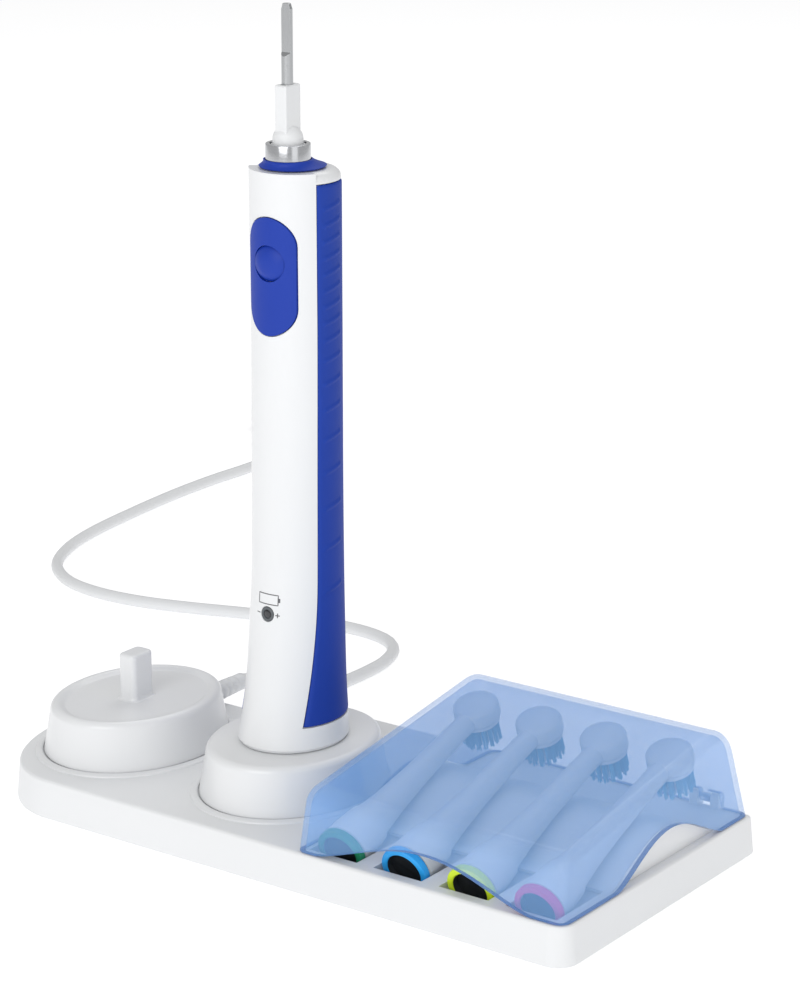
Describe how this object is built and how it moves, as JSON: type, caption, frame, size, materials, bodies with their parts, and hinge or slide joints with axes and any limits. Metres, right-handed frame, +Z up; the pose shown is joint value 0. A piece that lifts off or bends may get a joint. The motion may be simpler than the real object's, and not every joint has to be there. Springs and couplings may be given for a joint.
{
  "type": "electric toothbrush on charger",
  "caption": "Rechargeable toothbrush handle on a long tray with a pegged charger, a corded plug and spare brush heads under a hinged clear lid.",
  "frame": {"origin": "on the surface the stand rests on, under the middle of the tray", "axes": "+X along the tray from the charger to the case of spare heads, +Y to the back, +Z up"},
  "size_m": [0.481, 0.4968, 0.2371],
  "materials": {
    "white_plastic": "smooth white moulding",
    "cord_jacket": "flexible white jacket",
    "blue_rubber": "soft blue overmould",
    "blue_clear": "clear blue plastic",
    "steel": "bright steel",
    "grey_rubber": "dark grey rubber",
    "board": "green circuit board",
    "copper": "enamelled copper winding",
    "ferrite": "dark ferrite",
    "brass": "turned brass",
    "battery_wrap": "battery sleeve",
    "lens": "smoked indicator lens",
    "bristle_blue": "blue nylon bristles",
    "ring_green": "green marker ring",
    "ring_blue": "blue marker ring",
    "ring_yellow": "yellow-green marker ring",
    "ring_pink": "pink marker ring"
  },
  "bodies": {
    "stand": {"tray": "white_plastic", "tray_base_plate": "white_plastic", "tray_foot_1": "grey_rubber", "tray_foot_2": "grey_rubber", "tray_foot_3": "grey_rubber", "tray_foot_4": "grey_rubber", "charger_housing": "white_plastic", "charger_base_plate": "white_plastic", "charger_ferrite_core": "ferrite", "charger_primary_coil": "copper", "charger_circuit_board": "board", "holder_housing": "white_plastic", "holder_base_plate": "white_plastic", "cord_strain_relief": "cord_jacket", "cord": "cord_jacket", "cord_hank": "cord_jacket", "cord_tail": "cord_jacket", "hank_tie": "grey_rubber", "plug_body": "white_plastic", "plug_pin_1": "steel", "plug_pin_2": "steel", "lid_hinge_pin_1": "steel", "lid_hinge_pin_2": "steel", "head_ring_1": "ring_green", "head_ring_2": "ring_blue", "head_ring_3": "ring_yellow", "head_ring_4": "ring_pink", "head_sleeve_1": "white_plastic", "head_sleeve_2": "white_plastic", "head_sleeve_3": "white_plastic", "head_sleeve_4": "white_plastic"},
    "lid": {"lid": "blue_clear"},
    "handle": {"handle_shell": "white_plastic", "rubber_grip": "blue_rubber", "switch_pad": "blue_rubber", "led_lens": "lens", "neck_seal": "blue_rubber", "steel_collar": "steel", "shaft_post": "white_plastic", "shaft_bush": "brass", "motor": "steel", "battery": "battery_wrap", "chassis": "white_plastic", "handle_circuit_board": "board", "push_switch": "steel", "base_cap": "white_plastic", "base_seal": "grey_rubber", "charging_coil": "copper"},
    "power_button": {"power_button": "blue_rubber"},
    "drive_shaft": {"drive_shaft": "steel", "rocker": "white_plastic"},
    "crank_gear": {"crank_gear": "white_plastic"},
    "motor_pinion": {"motor_pinion": "brass"},
    "bristle_disc_1": {"bristle_disc_1": "bristle_blue"},
    "bristle_disc_2": {"bristle_disc_2": "bristle_blue"},
    "bristle_disc_3": {"bristle_disc_3": "bristle_blue"},
    "bristle_disc_4": {"bristle_disc_4": "bristle_blue"}
  },
  "joints": [
    {"name": "lid_hinge", "type": "hinge", "parent": "stand", "child": "lid", "pos_m": [0.0525, 0.0473, 0.0154], "axis": [-1, 0, 0], "range_deg": [0, 95]},
    {"name": "handle_lift", "type": "slide", "parent": "stand", "child": "handle", "axis": [0, 0, 1], "range_m": [0, 0.05]},
    {"name": "button_press", "type": "slide", "parent": "handle", "child": "power_button", "axis": [0, 1, 0], "range_m": [0, 0.0007], "stiffness_N_per_m": 600},
    {"name": "shaft_swing", "type": "hinge", "parent": "handle", "child": "drive_shaft", "pos_m": [-0.015, -0.008, 0.1922], "axis": [0, 0, 1], "range_deg": [-27, 27]},
    {"name": "crank_spin", "type": "hinge", "parent": "handle", "child": "crank_gear", "pos_m": [-0.015, -0.008, 0.147], "axis": [0, 0, 1], "continuous": true},
    {"name": "pinion_spin", "type": "hinge", "parent": "handle", "child": "motor_pinion", "pos_m": [-0.015, -0.0035, 0.147], "axis": [0, 0, 1], "continuous": true},
    {"name": "bristle_swing_1", "type": "hinge", "parent": "stand", "child": "bristle_disc_1", "pos_m": [0.0264, 0.0246, 0.03348], "axis": [0, 0.309, -0.9511], "range_deg": [-22.5, 22.5]},
    {"name": "bristle_swing_2", "type": "hinge", "parent": "stand", "child": "bristle_disc_2", "pos_m": [0.048, 0.0246, 0.03348], "axis": [0, 0.309, -0.9511], "range_deg": [-22.5, 22.5]},
    {"name": "bristle_swing_3", "type": "hinge", "parent": "stand", "child": "bristle_disc_3", "pos_m": [0.0696, 0.0246, 0.03348], "axis": [0, 0.309, -0.9511], "range_deg": [-22.5, 22.5]},
    {"name": "bristle_swing_4", "type": "hinge", "parent": "stand", "child": "bristle_disc_4", "pos_m": [0.0912, 0.0246, 0.03348], "axis": [0, 0.309, -0.9511], "range_deg": [-22.5, 22.5]}
  ],
  "couplings": [
    {"joint": "pinion_spin", "follows": "crank_spin", "ratio": -2}
  ]
}
